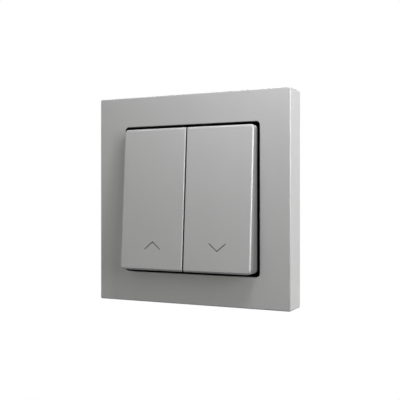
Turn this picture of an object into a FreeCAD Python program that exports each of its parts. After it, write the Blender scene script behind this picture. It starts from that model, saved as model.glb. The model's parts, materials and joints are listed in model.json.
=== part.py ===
import FreeCAD, Part
import os
import re
import Sketcher

# Double push button for blinds: a square wall frame with two sprung rocker buttons on a flush insert.
# Seen from the front, +X is right, +Z is up and +Y goes into the wall. The wall surface is y = 0,
# and the origin is midway between the box screws.
# Distances called "out" are measured from the wall surface towards the viewer, so what lies in the
# wall has a negative one.

sizes = {
    # cover frame
    "frame_depth": 11.1,
    "frame_wall": 2.2,
    "frame_face": 2.0,
    "frame_corner": 0.6,
    "frame_edge": 0.45,
    "opening_room": 3.0,
    "opening_corner": 1.3,
    "collar_wall": 1.6,
    # buttons
    "rim_gap": 1.1,
    "button_gap": 0.6,
    "proud_top": 2.7,
    "proud_bottom": 6.3,
    "skirt_fit": 0.3,
    "button_wall": 1.5,
    "button_face": 1.6,
    "button_corner": 1.5,
    "button_edge": 0.85,
    "middle_edge": 0.3,
    "socket_wall": 1.0,
    "socket_rise": 10.5,
    "stud_width": 4.0,
    "stud_height": 3.2,
    "stud_room": 1.3,
    "stud_fit": 0.1,
    "mark_half_width": 3.4,
    "mark_height": 2.85,
    "mark_line": 0.4,
    "mark_depth": 0.2,
    "up_mark_drop": 17.7,
    "down_mark_drop": 18.2,
    "up_mark_shift": 0.7,
    "down_mark_shift": 0.2,
    # support plate
    "tongue_land": 4.2,
    "slot_land": 2.0,
    "plate_thick": 1.2,
    "plate_margin": 2.9,
    "rim_land_across": 3.5,
    "rim_land_rise": 3.0,
    "plate_opening_corner": 7.0,
    "box_screw_spacing": 60.0,
    "slot_length": 7.0,
    "slot_radius": 1.8,
    "tongue_width": 7.0,
    "tongue_length": 5.5,
    "tongue_thick": 1.0,
    "tongue_offset": 13.0,
    "tongue_fit": 0.1,
    # front bridge that carries the axle
    "flange_overhang": 0.4,
    "flange_corner": 5.0,
    "flange_thick": 2.0,
    "rim_depth": 1.0,
    "rim_wall": 1.4,
    "rim_fit": 0.2,
    "ear_radius": 2.2,
    "outer_ear": 2.0,
    "ear_inset": 0.5,
    "centre_ear": 3.0,
    "sleeve_wall": 1.2,
    "sleeve_depth": 1.5,
    "cup_wall": 0.9,
    "cup_floor": 1.2,
    # axle and levers
    "hub_fit": 0.5,
    "axle_radius": 1.25,
    "axle_fit": 0.06,
    "axle_overhang": 0.2,
    "ear_fit": 0.4,
    "lever_thick": 1.6,
    "arm_rise": 2.1,
    "lever_land": 1.0,
    "spring_seat": 0.8,
    # return springs
    "spring_radius": 2.1,
    "spring_wire": 0.5,
    "spring_pitch": 1.25,
    "spring_below_hub": 3.45,
    "spring_fit": 0.45,
    # plungers and contacts
    "plunger_cup_gap": 0.72,
    "plunger_radius": 1.5,
    "plunger_fit": 0.08,
    "plunger_play": 0.15,
    "plunger_dome": 1.1,
    "plunger_collar": 0.7,
    "plunger_collar_thick": 1.2,
    "blade_room": 0.75,
    "blade_thick": 0.4,
    "blade_width": 5.0,
    "blade_root_land": 0.5,
    "blade_end_room": 1.3,
    "contact_below_plunger": 2.5,
    "contact_land": 0.3,
    "contact_radius": 1.6,
    "contact_height": 0.9,
    "contact_travel": 1.24,
    "strip_thick": 0.8,
    "strip_play": 0.05,
    "common_height": 5.0,
    "bar_past_blade": 1.0,
    # housing
    "housing_depth": 22.0,
    "housing_corner": 5.0,
    "housing_wall": 1.8,
    "housing_back": 2.0,
    "partition_wall": 1.4,
    "partition_gap": 2.0,
    "switch_room": 3.3,
    "partition_depth": 2.5,
    "post_side": 3.0,
    "post_inset": 0.2,
    "boss_radius": 2.4,
    "boss_inset": 0.7,
    "pilot_room": 1.2,
    # housing screws
    "fixing_radius": 1.0,
    "fixing_fit": 0.05,
    "fixing_length": 11.0,
    "fixing_head": 2.0,
    "fixing_head_height": 1.3,
    # push-in terminals
    "chamber_width": 6.4,
    "chamber_wall": 1.3,
    "limb_room": 2.2,
    "shelf_room": 1.16,
    "strip_end_gap": 1.0,
    "wire_hole_radius": 1.5,
    "wire_clearance": 0.5,
    "clamp_thick": 0.4,
    "clamp_width": 5.2,
    "release_width": 3.2,
    "release_height": 2.8,
    "release_gap": 1.4,
    "release_fit": 0.1,
    "release_proud": 1.6,
    "release_play": 0.15,
    "clamp_tip_room": 3.5,
    # spreading claws
    "claw_screw_room": 0.15,
    "claw_slot_room": 1.0,
    "claw_screw_radius": 1.5,
    "claw_screw_fit": 0.05,
    "claw_hole_fit": 0.2,
    "claw_screw_length": 20.0,
    "claw_head_radius": 2.7,
    "claw_head_height": 1.9,
    "driver_slot": 0.8,
    "driver_depth": 1.0,
    "claw_half_width": 3.6,
    "fork_fit": 0.6,
    "fork_past_nut": 1.1,
    "claw_thick": 1.0,
    "claw_housing_fit": 0.15,
    "claw_pivot_depth": 1.8,
    "claw_nut_fit": 0.275,
    "claw_past_nut": 3.0,
    "claw_tooth": 0.5,
    "eye_radius": 1.35,
    "pin_radius": 0.75,
    "pin_fit": 0.05,
    "lug_thick": 1.2,
    "lug_gap": 0.4,
    "lug_land": 0.85,
    "nut_side_fit": 0.2,
    "nut_length": 4.5,
    "thread_past_nut": 2.0,
    "nut_housing_fit": 0.2,
    "nut_wall": 0.8,
}

doc = FreeCAD.newDocument("DoublePushButton")
sheet = doc.addObject("Spreadsheet::Sheet", "Sizes")
for row, (alias, size) in enumerate(sizes.items(), 1):
    sheet.set(f"A{row}", alias)
    sheet.set(f"B{row}", str(size))
    sheet.setAlias(f"B{row}", alias)
doc.recompute()

# each view's plane: its outlines are drawn in the two axes given, and it is padded along the third
planes = {
    "front": "XZ_Plane",  # drawn in x and z, padded towards the viewer
    "side": "YZ_Plane",  # drawn in y and z, padded along x
    "top": "XY_Plane",  # drawn in x and y, padded along z
}
pieces = {}


# A formula of sheet aliases, as an expression that any object of the document understands.
def bound(text):
    return re.sub(r"[a-z_]+", lambda word: f"Sizes.{word[0]}" if word[0] in sizes else word[0], text)


def value(text):
    return float(sheet.evalExpression(text))


def constrain(sketch, kind, where, text):
    place = sketch.addConstraint(Sketcher.Constraint(kind, *where, value(text)))
    sketch.setExpression(f"Constraints[{place}]", bound(text))


# A closed outline of straight edges through points given as pairs of formulas.
def outline(points):
    def draw(sketch):
        first = sketch.GeometryCount
        corners = [FreeCAD.Vector(value(u), value(v), 0) for u, v in points]
        for start, end in zip(corners, corners[1:] + corners[:1]):
            sketch.addGeometry(Part.LineSegment(start, end), False)
        for step in range(len(points)):
            following = first + (step + 1) % len(points)
            sketch.addConstraint(Sketcher.Constraint("Coincident", first + step, 2, following, 1))
        for step, (u, v) in enumerate(points):
            constrain(sketch, "DistanceX", (-1, 1, first + step, 1), u)
            constrain(sketch, "DistanceY", (-1, 1, first + step, 1), v)
    return draw


def rectangle(left, right, low, high):
    return outline([(left, low), (right, low), (right, high), (left, high)])


def centred_square(side):
    half = f"({side}) / 2"
    return rectangle(f"-{half}", half, f"-{half}", half)


# A rectangle with its four corners cut off at 45 degrees, centred on the origin.
def cut_cornered(width, height, corner):
    across = f"({width}) / 2"
    rise = f"({height}) / 2"
    points = []
    for right, up in ((1, -1), (1, 1), (-1, 1), (-1, -1)):
        inner = (f"{right} * ({across} - ({corner}))", f"{up} * {rise}")
        outer = (f"{right} * {across}", f"{up} * ({rise} - ({corner}))")
        points += [inner, outer] if right * up < 0 else [outer, inner]
    return outline(points)


def circle(u, v, radius):
    def draw(sketch):
        centre = FreeCAD.Vector(value(u), value(v), 0)
        ring = sketch.addGeometry(Part.Circle(centre, FreeCAD.Vector(0, 0, 1), value(radius)), False)
        constrain(sketch, "Radius", (ring,), radius)
        constrain(sketch, "DistanceX", (-1, 1, ring, 3), u)
        constrain(sketch, "DistanceY", (-1, 1, ring, 3), v)
    return draw


# A round-ended slot between two centres that share one coordinate.
def slot(first_centre, second_centre, radius):
    def draw(sketch):
        ends = [FreeCAD.Vector(value(u), value(v), 0) for u, v in (first_centre, second_centre)]
        along = (ends[1] - ends[0]).normalize()
        across = FreeCAD.Vector(-along.y, along.x, 0) * value(radius)
        arcs = []
        for centre, outward in ((ends[0], along * -1), (ends[1], along)):
            tip = centre + outward * value(radius)
            turn = across if outward == along * -1 else across * -1
            shape = Part.Arc(centre + turn, tip, centre - turn)
            arcs.append(sketch.addGeometry(shape, False))
        sides = []
        for side in (across, across * -1):
            sides.append(sketch.addGeometry(Part.LineSegment(ends[0] + side, ends[1] + side), False))
        for line, end in ((sides[0], 1), (sides[1], 1), (sides[0], 2), (sides[1], 2)):
            arc = arcs[end - 1]
            corner = sketch.getPoint(line, end)
            arc_end = min((1, 2), key=lambda pick: sketch.getPoint(arc, pick).distanceToPoint(corner))
            sketch.addConstraint(Sketcher.Constraint("Tangent", line, end, arc, arc_end))
        for arc, (u, v) in zip(arcs, (first_centre, second_centre)):
            constrain(sketch, "DistanceX", (-1, 1, arc, 3), u)
            constrain(sketch, "DistanceY", (-1, 1, arc, 3), v)
        constrain(sketch, "Radius", (arcs[0],), radius)
    return draw


def new_body(node):
    body = doc.addObject("PartDesign::Body", node)
    body.Label = node
    pieces[node] = body
    return body


def new_sketch(body, view, shapes, offset):
    sketch = body.newObject("Sketcher::SketchObject", f"{body.Name}_sketch")
    plane = next(face for face in body.Origin.OriginFeatures if face.Role == planes[view])
    sketch.AttachmentSupport = [(plane, "")]
    sketch.MapMode = "FlatFace"
    sketch.setExpression("AttachmentOffset.Base.z", bound(offset))
    for draw in shapes:
        draw(sketch)
    return sketch


def check(item):
    if "Invalid" in item.State or "Error" in item.State:
        raise ValueError(f"{item.Name} failed: {item.getStatusString()}")


def finish_feature(body, feature, sketch, length, grows):
    before = body.Shape.Volume if body.Tip and not body.Shape.isNull() else 0.0
    feature.Profile = sketch
    feature.setExpression("Length", bound(length))
    body.Tip = feature
    doc.recompute()
    check(feature)
    change = body.Shape.Volume - before
    if change <= 0 if grows else change >= 0:
        raise ValueError(f"{feature.Name} changed the volume of {body.Label} by {change:.4f}")


# Adds material between two distances along the view's padding direction.
def add(body, view, shapes, start, end):
    sketch = new_sketch(body, view, shapes, start)
    pad = body.newObject("PartDesign::Pad", f"{body.Name}_pad")
    finish_feature(body, pad, sketch, f"({end}) - ({start})", True)


# Removes material between two distances along the view's padding direction.
def cut(body, view, shapes, start, end, tilt=None):
    sketch = new_sketch(body, view, shapes, end)
    if tilt:
        sketch.AttachmentOffset = FreeCAD.Placement(
            sketch.AttachmentOffset.Base, FreeCAD.Rotation(FreeCAD.Vector(1, 0, 0), value(tilt))
        )
        sketch.setExpression("AttachmentOffset.Rotation.Angle", bound(tilt))
    pocket = body.newObject("PartDesign::Pocket", f"{body.Name}_pocket")
    finish_feature(body, pocket, sketch, f"({end}) - ({start})", False)


# Rounds the edges of the body's last feature that the test picks out.
def round_edges(body, radius, picked):
    names = [f"Edge{n}" for n, edge in enumerate(body.Shape.Edges, 1) if picked(edge)]
    if not names:
        raise ValueError(f"no edge of {body.Label} was picked for rounding")
    last = body.Tip
    fillet = body.newObject("PartDesign::Fillet", f"{body.Name}_fillet")
    fillet.Base = (last, names)
    fillet.setExpression("Radius", bound(radius))
    body.Tip = fillet
    doc.recompute()
    check(fillet)


def runs_along(edge, axis):
    box = edge.BoundBox
    spans = {"x": box.XLength, "y": box.YLength, "z": box.ZLength}
    return spans.pop(axis) > tiny and max(spans.values()) < tiny


def lies_out(edge, out):
    box = edge.BoundBox
    return max(abs(box.YMin + out), abs(box.YMax + out)) < tiny


tiny = 0.001  # mm, for comparing places on a finished shape
# The four corners, given as the sign of x and the sign of z.
corners = [(1, 1), (1, -1), (-1, 1), (-1, -1)]

# Formulas that several pieces share, from inside to outside: the terminals and the switches set the
# housing, the housing and its claws set the opening, the opening sets the plate, and that the frame.
rib_inner = "(chamber_width / 2)"
rib_outer = "(chamber_width / 2 + chamber_wall)"
strip_seat = "(chamber_width / 2 + chamber_wall / 2)"
switch_offset = f"(partition_wall / 2 + switch_room + {rib_outer})"
boss_across = f"({switch_offset} + {strip_seat} + strip_play + boss_radius)"
inside_across = f"({boss_across} + boss_radius)"
housing_width = f"(2 * ({inside_across} + housing_wall))"

spring_drop = "(ear_radius + spring_below_hub + spring_radius + spring_wire / 2)"
plunger_drop = (
    f"({spring_drop} + spring_radius + spring_wire / 2 + spring_fit + cup_wall"
    " + plunger_cup_gap + plunger_fit + plunger_radius)"
)
contact_drop = f"({plunger_drop} + contact_below_plunger)"
blade_drop = f"({contact_drop} + contact_radius + contact_land)"
inside_rise = f"({blade_drop} + blade_end_room)"
housing_height = f"(2 * ({inside_rise} + housing_wall))"
boss_rise = f"({inside_rise} - boss_radius - boss_inset)"

claw_pivot_across = f"({housing_width} / 2 + claw_housing_fit + eye_radius)"
claw_screw_across = f"({claw_pivot_across} + pin_radius + claw_screw_room + claw_screw_radius)"
claw_rise = "(slot_radius + claw_slot_room + claw_head_radius)"
half_opening = f"({claw_screw_across} + claw_head_radius + opening_room)"
collar_outer = f"({half_opening} + collar_wall)"
past_tongues = f"{collar_outer} + tongue_fit + tongue_thick + tongue_land"
past_slots = "box_screw_spacing / 2 + slot_length / 2 + slot_land"
half_plate = f"max({past_tongues}; {past_slots})"
half_frame = f"({half_plate} + plate_margin + frame_wall)"
plate_opening = (f"({housing_width} - 2 * rim_land_across)", f"({housing_height} - 2 * rim_land_rise)")

# The bridge, its axle and the levers on it.
flange_width = f"({housing_width} + 2 * flange_overhang)"
flange_out = "(plate_thick + flange_thick)"
axle_out = f"({flange_out} + hub_fit + ear_radius)"
ear_outer = f"({flange_width} / 2 - ear_inset)"
ear_inner = f"({ear_outer} - outer_ear)"
lever_inner = "(centre_ear / 2 + ear_fit)"
lever_outer = f"({ear_inner} - ear_fit)"
lever_centre = f"(({lever_inner} + {lever_outer}) / 2)"
lever_out = f"({axle_out} + arm_rise)"
lever_back = f"({lever_out} - lever_thick)"

half_button = f"({half_opening} - rim_gap)"
button_inner = "button_gap / 2"
skirt_out = f"({axle_out} + ear_radius + skirt_fit)"


# How far out the buttons' sloping face lies at a height above the axle.
def face_out(rise):
    slope = f"(proud_bottom - proud_top) / (2 * {half_button})"
    return f"(frame_depth + (proud_top + proud_bottom) / 2 - ({rise}) * {slope})"


stud_length = f"({face_out('socket_rise')} - button_face - stud_room - {lever_out})"

# How deep the switches and the terminals lie in the housing.
floor_depth = "(housing_depth - housing_back)"
blade_depth = "(sleeve_depth + plunger_play + plunger_collar_thick + blade_room)"
blade_back = f"({blade_depth} + blade_thick)"
common_depth = f"({blade_back} + strip_play)"
common_back = f"({common_depth} + strip_thick)"
fixed_top = f"({blade_back} + contact_height + contact_travel)"
fixed_depth = f"({fixed_top} + contact_height)"
fixed_back = f"({fixed_depth} + strip_thick)"
strip_end = f"({floor_depth} - strip_end_gap)"
shelf_depth = f"({fixed_back} + shelf_room)"
clamp_bend = f"({shelf_depth} + 4 * clamp_thick)"
clamp_tip = f"({floor_depth} - clamp_tip_room)"

# The places in a terminal, from the housing's edge towards its middle, and the bar's below them.
strip_rise = f"({inside_rise} - strip_thick)"
wire_rise = f"({strip_rise} - wire_clearance - wire_hole_radius)"
release_rise = f"({wire_rise} - wire_hole_radius - release_gap - release_height / 2)"
chamber_end = f"({release_rise} - release_height / 2 - limb_room)"
common_low = f"({chamber_end} - common_height)"
common_half_width = f"({switch_offset} + blade_width / 2 + bar_past_blade)"
limb_start = f"({release_rise} - release_height / 4)"
limb_end = f"({wire_rise} + clamp_thick)"
limb_slope = f"({clamp_tip} - {clamp_bend}) / ({limb_end} - {limb_start})"
release_tip = (
    f"({clamp_bend} + ({release_rise} + release_height / 2 - {limb_start}) * {limb_slope}"
    " + clamp_thick + release_play)"
)

# The nut at rest, and the claw whose inner face leans on its outer edge.
nut_depth = "(claw_screw_length - thread_past_nut - nut_length)"
nut_outside = f"({claw_screw_across} + claw_screw_radius + claw_screw_fit + nut_wall)"
claw_root = f"({claw_pivot_across} + eye_radius + 3 * pin_fit - claw_thick)"
claw_slope = f"({nut_outside} + claw_nut_fit - {claw_root}) / ({nut_depth} - claw_pivot_depth)"
claw_end = f"({nut_depth} + claw_past_nut)"
claw_tip = f"({claw_root} + {claw_slope} * ({claw_end} - claw_pivot_depth))"


def make_cover_frame():
    frame = new_body("cover_frame")
    add(frame, "front", [centred_square(f"2 * {half_frame}")], "0", "frame_depth")
    hollow = centred_square(f"2 * ({half_frame} - frame_wall)")
    cut(frame, "front", [hollow], "0", "frame_depth - frame_face")
    collar = centred_square(f"2 * {collar_outer}")
    add(frame, "front", [collar], "plate_thick", "frame_depth - frame_face")
    cut(frame, "front", [centred_square(f"2 * {half_opening}")], "0", "frame_depth")
    outside = value(half_frame)
    inside = value(half_opening)

    def at_corner(edge, half):
        box = edge.BoundBox
        return runs_along(edge, "y") and abs(abs(box.XMin) - half) < tiny and abs(abs(box.ZMin) - half) < tiny

    round_edges(frame, "opening_corner", lambda edge: at_corner(edge, inside))
    round_edges(frame, "frame_corner", lambda edge: at_corner(edge, outside))
    front = value("frame_depth")
    round_edges(frame, "frame_edge", lambda edge: lies_out(edge, front))


def make_support_plate():
    plate = new_body("support_plate")
    add(plate, "front", [centred_square(f"2 * {half_plate}")], "0", "plate_thick")
    window = cut_cornered(*plate_opening, "plate_opening_corner")
    run = "(slot_length / 2 - slot_radius)"
    slots = []
    for side in (1, -1):
        middle = f"{side} * box_screw_spacing / 2"
        slots.append(slot((f"{middle} - {run}", "0"), (f"{middle} + {run}", "0"), "slot_radius"))
        slots.append(slot(("0", f"{middle} - {run}"), ("0", f"{middle} + {run}"), "slot_radius"))
    holes = [
        circle(f"{right} * {boss_across}", f"{up} * {boss_rise}", "fixing_radius + 2 * fixing_fit")
        for right, up in corners
    ]
    for side in (1, -1):
        passage = "claw_screw_radius + claw_hole_fit"
        holes.append(circle(f"{side} * {claw_screw_across}", f"{-side} * {claw_rise}", passage))
    cut(plate, "front", [window, *slots, *holes], "0", "plate_thick")
    tongues = []
    for right, up in corners:
        left = f"{right} * tongue_offset - tongue_width / 2"
        near = f"({collar_outer} + tongue_fit)"
        edges = [f"{up} * {near}", f"{up} * ({near} + tongue_thick)"]
        low, high = edges if up > 0 else reversed(edges)
        tongues.append(rectangle(left, f"{left} + tongue_width", low, high))
    add(plate, "front", tongues, "plate_thick", "plate_thick + tongue_length")


def make_front_bridge():
    bridge = new_body("front_bridge")
    flange = cut_cornered(flange_width, housing_height, "flange_corner")
    add(bridge, "front", [flange], "plate_thick", flange_out)
    width, height = (f"{size} - 2 * rim_fit" for size in plate_opening)
    rim = cut_cornered(width, height, "plate_opening_corner")
    hollow = cut_cornered(f"{width} - 2 * rim_wall", f"{height} - 2 * rim_wall", "plate_opening_corner")
    add(bridge, "front", [rim], "-rim_depth", "plate_thick")
    cut(bridge, "front", [hollow], "-rim_depth", "plate_thick")
    for side in (1, -1):
        plunger = (f"{side} * {switch_offset}", f"-{plunger_drop}")
        spring = (f"{side} * {lever_centre}", f"-{spring_drop}")
        sleeve = circle(*plunger, "plunger_radius + plunger_fit + sleeve_wall")
        cup = circle(*spring, "spring_radius + spring_wire / 2 + spring_fit + cup_wall")
        add(bridge, "front", [sleeve], "-sleeve_depth", "plate_thick")
        add(bridge, "front", [cup], "-sleeve_depth", "plate_thick")
        cut(bridge, "front", [circle(*plunger, "plunger_radius + plunger_fit")], "-sleeve_depth", flange_out)
        pocket = circle(*spring, "spring_radius + spring_wire / 2 + spring_fit")
        cut(bridge, "front", [pocket], "cup_floor - sleeve_depth", flange_out)
    holes = [
        circle(f"{right} * {boss_across}", f"{up} * {boss_rise}", "fixing_radius + 2 * fixing_fit")
        for right, up in corners
    ]
    cut(bridge, "front", holes, "plate_thick", flange_out)
    ear = slot((f"-{axle_out}", "0"), ("-(plate_thick + ear_radius)", "0"), "ear_radius")
    add(bridge, "side", [ear], "-centre_ear / 2", "centre_ear / 2")
    add(bridge, "side", [ear], ear_inner, ear_outer)
    add(bridge, "side", [ear], f"-{ear_outer}", f"-{ear_inner}")
    hole = circle(f"-{axle_out}", "0", "axle_radius")
    cut(bridge, "side", [hole], f"-{ear_outer}", ear_outer)


def make_axle():
    axle = new_body("pivot_axle")
    end = f"({ear_outer} + axle_overhang)"
    add(axle, "side", [circle(f"-{axle_out}", "0", "axle_radius")], f"-{end}", end)
    tip = value(end)
    round_edges(axle, "axle_radius / 4", lambda edge: abs(abs(edge.CenterOfMass.x) - tip) < tiny)


# The stretch of x between two distances from the middle, on the side with the given sign.
def stretch(side, near, far):
    return (near, far) if side > 0 else (f"-({far})", f"-({near})")


def make_lever(name, side):
    lever = new_body(f"{name}_lever")
    start, end = stretch(side, lever_inner, lever_outer)
    add(lever, "side", [circle(f"-{axle_out}", "0", "ear_radius")], start, end)
    bottom = f"-({plunger_drop} + plunger_radius + lever_land)"
    arm = rectangle(f"-{lever_out}", f"-{lever_back}", bottom, "socket_rise + stud_height / 2 + lever_land")
    add(lever, "side", [arm], start, end)
    cut(lever, "side", [circle(f"-{axle_out}", "0", "axle_radius + axle_fit")], start, end)
    seat_radius = "spring_radius + spring_wire / 2 + spring_fit"
    seat = circle(f"{side} * {lever_centre}", f"-{spring_drop}", seat_radius)
    cut(lever, "front", [seat], lever_back, f"{lever_back} + spring_seat")
    left = f"{side} * {lever_centre} - stud_width / 2"
    studs = [
        rectangle(left, f"{left} + stud_width", f"{up} * socket_rise - stud_height / 2",
                  f"{up} * socket_rise + stud_height / 2")
        for up in (1, -1)
    ]
    add(lever, "front", studs, lever_out, f"{lever_out} + {stud_length}")
    foot = value(lever_back)
    round_edges(lever, "lever_thick / 4", lambda edge: runs_along(edge, "x") and lies_out(edge, foot)
                and abs(edge.CenterOfMass.z) > value("ear_radius"))


def make_button(name, side, points_up):
    button = new_body(f"{name}_button")
    start, end = stretch(side, button_inner, half_button)
    profile = outline([
        (f"-{skirt_out}", f"-{half_button}"),
        (f"-{skirt_out}", half_button),
        (f"-{face_out(half_button)}", half_button),
        (f"-{face_out('-' + half_button)}", f"-{half_button}"),
    ])
    add(button, "side", [profile], start, end)
    front_edges = (value(face_out(f"-{half_button}")), value(face_out(half_button)))
    across = value(half_button)
    inner = value(button_inner)

    # the sloping front face's own four edges
    def on_face(edge):
        return all(
            abs(point.Point.y + front_edges[0] + (point.Point.z + value(half_button))
                * (front_edges[1] - front_edges[0]) / (2 * value(half_button))) < tiny
            for point in edge.Vertexes
        )

    def outer_corner(edge):
        return runs_along(edge, "y") and abs(abs(edge.CenterOfMass.x) - across) < tiny

    def at_middle(edge):
        return on_face(edge) and abs(abs(edge.CenterOfMass.x) - inner) < tiny

    round_edges(button, "button_corner", outer_corner)
    round_edges(button, "button_edge", lambda edge: on_face(edge) and not at_middle(edge))
    round_edges(button, "middle_edge", at_middle)

    hollow_start, hollow_end = stretch(side, f"{button_inner} + button_wall", f"{half_button} - button_wall")
    hollow_rise = f"({half_button} - button_wall)"
    hollow = outline([
        (f"-{skirt_out}", f"-{hollow_rise}"),
        (f"-{skirt_out}", hollow_rise),
        (f"-({face_out(hollow_rise)} - button_face)", hollow_rise),
        (f"-({face_out('-' + hollow_rise)} - button_face)", f"-{hollow_rise}"),
    ])
    cut(button, "side", [hollow], hollow_start, hollow_end)
    middle = f"{side} * {lever_centre}"
    for up in (1, -1):
        rise = f"{up} * socket_rise"
        for grow, change in (("stud_fit + socket_wall", add), ("stud_fit", cut)):
            across_half = f"(stud_width / 2 + {grow})"
            rise_half = f"(stud_height / 2 + {grow})"
            shape = rectangle(f"{middle} - {across_half}", f"{middle} + {across_half}",
                              f"{rise} - {rise_half}", f"{rise} + {rise_half}")
            bottom = f"{lever_out} + {stud_length} + stud_fit"
            reach = f"{face_out(rise)} - button_face / 2" if change is add else bottom
            change(button, "front", [shape], lever_out, reach)
    make_mark(button, name, side, points_up)


# The engraved arrow head: two thin strokes that meet in a point, cut square to the sloping face.
def make_mark(button, name, side, points_up):
    centre = f"({side} * ({button_inner} + {half_button}) / 2 + {name}_mark_shift)"
    turn = 1 if points_up else -1
    thick = "mark_line * sqrt(mark_half_width ^ 2 + mark_height ^ 2) / mark_half_width"
    tip = f"-{name}_mark_drop + {turn} * mark_height / 2"
    foot = f"-{name}_mark_drop - {turn} * mark_height / 2"
    chevron = outline([
        (f"{centre} - mark_half_width", foot),
        (centre, tip),
        (f"{centre} + mark_half_width", foot),
        (f"{centre} + mark_half_width", f"{foot} - {turn} * {thick}"),
        (centre, f"{tip} - {turn} * {thick}"),
        (f"{centre} - mark_half_width", f"{foot} - {turn} * {thick}"),
    ])
    tilt = f"-atan((proud_bottom - proud_top) / (2 * {half_button})) / 1deg"
    middle = face_out("0")
    cut(button, "front", [chevron], f"{middle} - mark_depth", middle, tilt)


# The coil between the bridge's cup and the lever's seat.
def make_return_spring(name, side):
    node = f"{name}_return_spring"
    helix = doc.addObject("Part::Helix", f"{node}_path")
    low = "(cup_floor - sleeve_depth + spring_wire / 2)"
    high = f"({lever_back} + spring_seat - spring_wire / 2)"
    helix.setExpression("Radius", bound("spring_radius"))
    helix.setExpression("Pitch", bound("spring_pitch"))
    helix.setExpression("Height", bound(f"{high} - {low}"))
    wire = doc.addObject("Part::Circle", f"{node}_wire")
    wire.setExpression("Radius", bound("spring_wire / 2"))
    wire.Placement.Rotation = FreeCAD.Rotation(FreeCAD.Vector(1, 0, 0), 90)
    wire.setExpression("Placement.Base.x", bound("spring_radius"))
    doc.recompute()
    coil = doc.addObject("Part::Sweep", node)
    coil.Label = node
    coil.Sections = [wire]
    coil.Spine = (helix, [f"Edge{n + 1}" for n in range(len(helix.Shape.Edges))])
    coil.Solid = True
    coil.Frenet = True
    coil.Placement.Rotation = FreeCAD.Rotation(FreeCAD.Vector(1, 0, 0), 90)
    coil.setExpression("Placement.Base.x", bound(f"{side} * {lever_centre}"))
    coil.setExpression("Placement.Base.y", bound(f"-{low}"))
    coil.setExpression("Placement.Base.z", bound(f"-{spring_drop}"))
    pieces[node] = coil


def make_plunger(name, side):
    plunger = new_body(f"{name}_plunger")
    centre = (f"{side} * {switch_offset}", f"-{plunger_drop}")
    tip = f"({lever_back} - plunger_play)"
    add(plunger, "front", [circle(*centre, "plunger_radius")], f"plunger_play - {blade_depth}", tip)
    front = value(tip)
    round_edges(plunger, "plunger_dome", lambda edge: lies_out(edge, front))
    collar = circle(*centre, "plunger_radius + plunger_collar")
    top = "(0 - sleeve_depth - plunger_play)"
    add(plunger, "front", [collar], f"{top} - plunger_collar_thick", top)


# The sprung blade and its contact rivet, which the plunger swings towards the fixed contact.
def make_blade(name, side):
    blade = new_body(f"{name}_contact_blade")
    left = f"{side} * {switch_offset} - blade_width / 2"
    strip = rectangle(left, f"{left} + blade_width", f"-{blade_drop}", f"{chamber_end} - blade_root_land")
    add(blade, "front", [strip], f"-{blade_back}", f"-{blade_depth}")
    round_edges(blade, "blade_width / 5", lambda edge: runs_along(edge, "y") and edge.CenterOfMass.z < 0)
    rivet = new_body(f"{name}_moving_contact")
    head = circle(f"{side} * {switch_offset}", f"-{contact_drop}", "contact_radius")
    add(rivet, "front", [head], f"-({blade_back} + contact_height)", f"-{blade_back}")
    far = -value(f"{blade_back} + contact_height")
    round_edges(rivet, "contact_height / 2", lambda edge: lies_out(edge, far))


def make_common_bar():
    bar = new_body("common_contact_bar")
    shape = outline([
        (f"-{common_half_width}", common_low),
        (common_half_width, common_low),
        (common_half_width, chamber_end),
        (strip_seat, chamber_end),
        (strip_seat, inside_rise),
        (f"-{strip_seat}", inside_rise),
        (f"-{strip_seat}", chamber_end),
        (f"-{common_half_width}", chamber_end),
    ])
    add(bar, "front", [shape], f"-{common_back}", f"-{common_depth}")
    leg = f"({rib_inner} - strip_play)"
    foot = rectangle(f"-{leg}", leg, strip_rise, inside_rise)
    add(bar, "front", [foot], f"-{strip_end}", f"-{common_depth}")


def make_fixed_contact(name, side):
    strip = new_body(f"{name}_fixed_contact")
    middle = f"{side} * {switch_offset}"
    top = f"(0 - {contact_drop} + contact_radius + 2 * strip_thick)"
    plate = rectangle(f"{middle} - {strip_seat}", f"{middle} + {strip_seat}", f"-{inside_rise}", top)
    add(strip, "front", [plate], f"-{fixed_back}", f"-{fixed_depth}")
    leg = f"({rib_inner} - strip_play)"
    foot = rectangle(f"{middle} - {leg}", f"{middle} + {leg}", f"-{inside_rise}", f"-{strip_rise}")
    add(strip, "front", [foot], f"-{strip_end}", f"-{fixed_depth}")
    rivet = new_body(f"{name}_fixed_contact_rivet")
    head = circle(middle, f"-{contact_drop}", "contact_radius")
    add(rivet, "front", [head], f"-{fixed_depth}", f"-{fixed_top}")
    near = -value(fixed_top)
    round_edges(rivet, "contact_height / 2", lambda edge: lies_out(edge, near))


# The terminals: the middle of each one across x, and the side of the housing that it lies on.
terminals = {
    "common": ("0", 1),
    "up": (f"-{switch_offset}", -1),
    "down": (switch_offset, -1),
}


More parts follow.
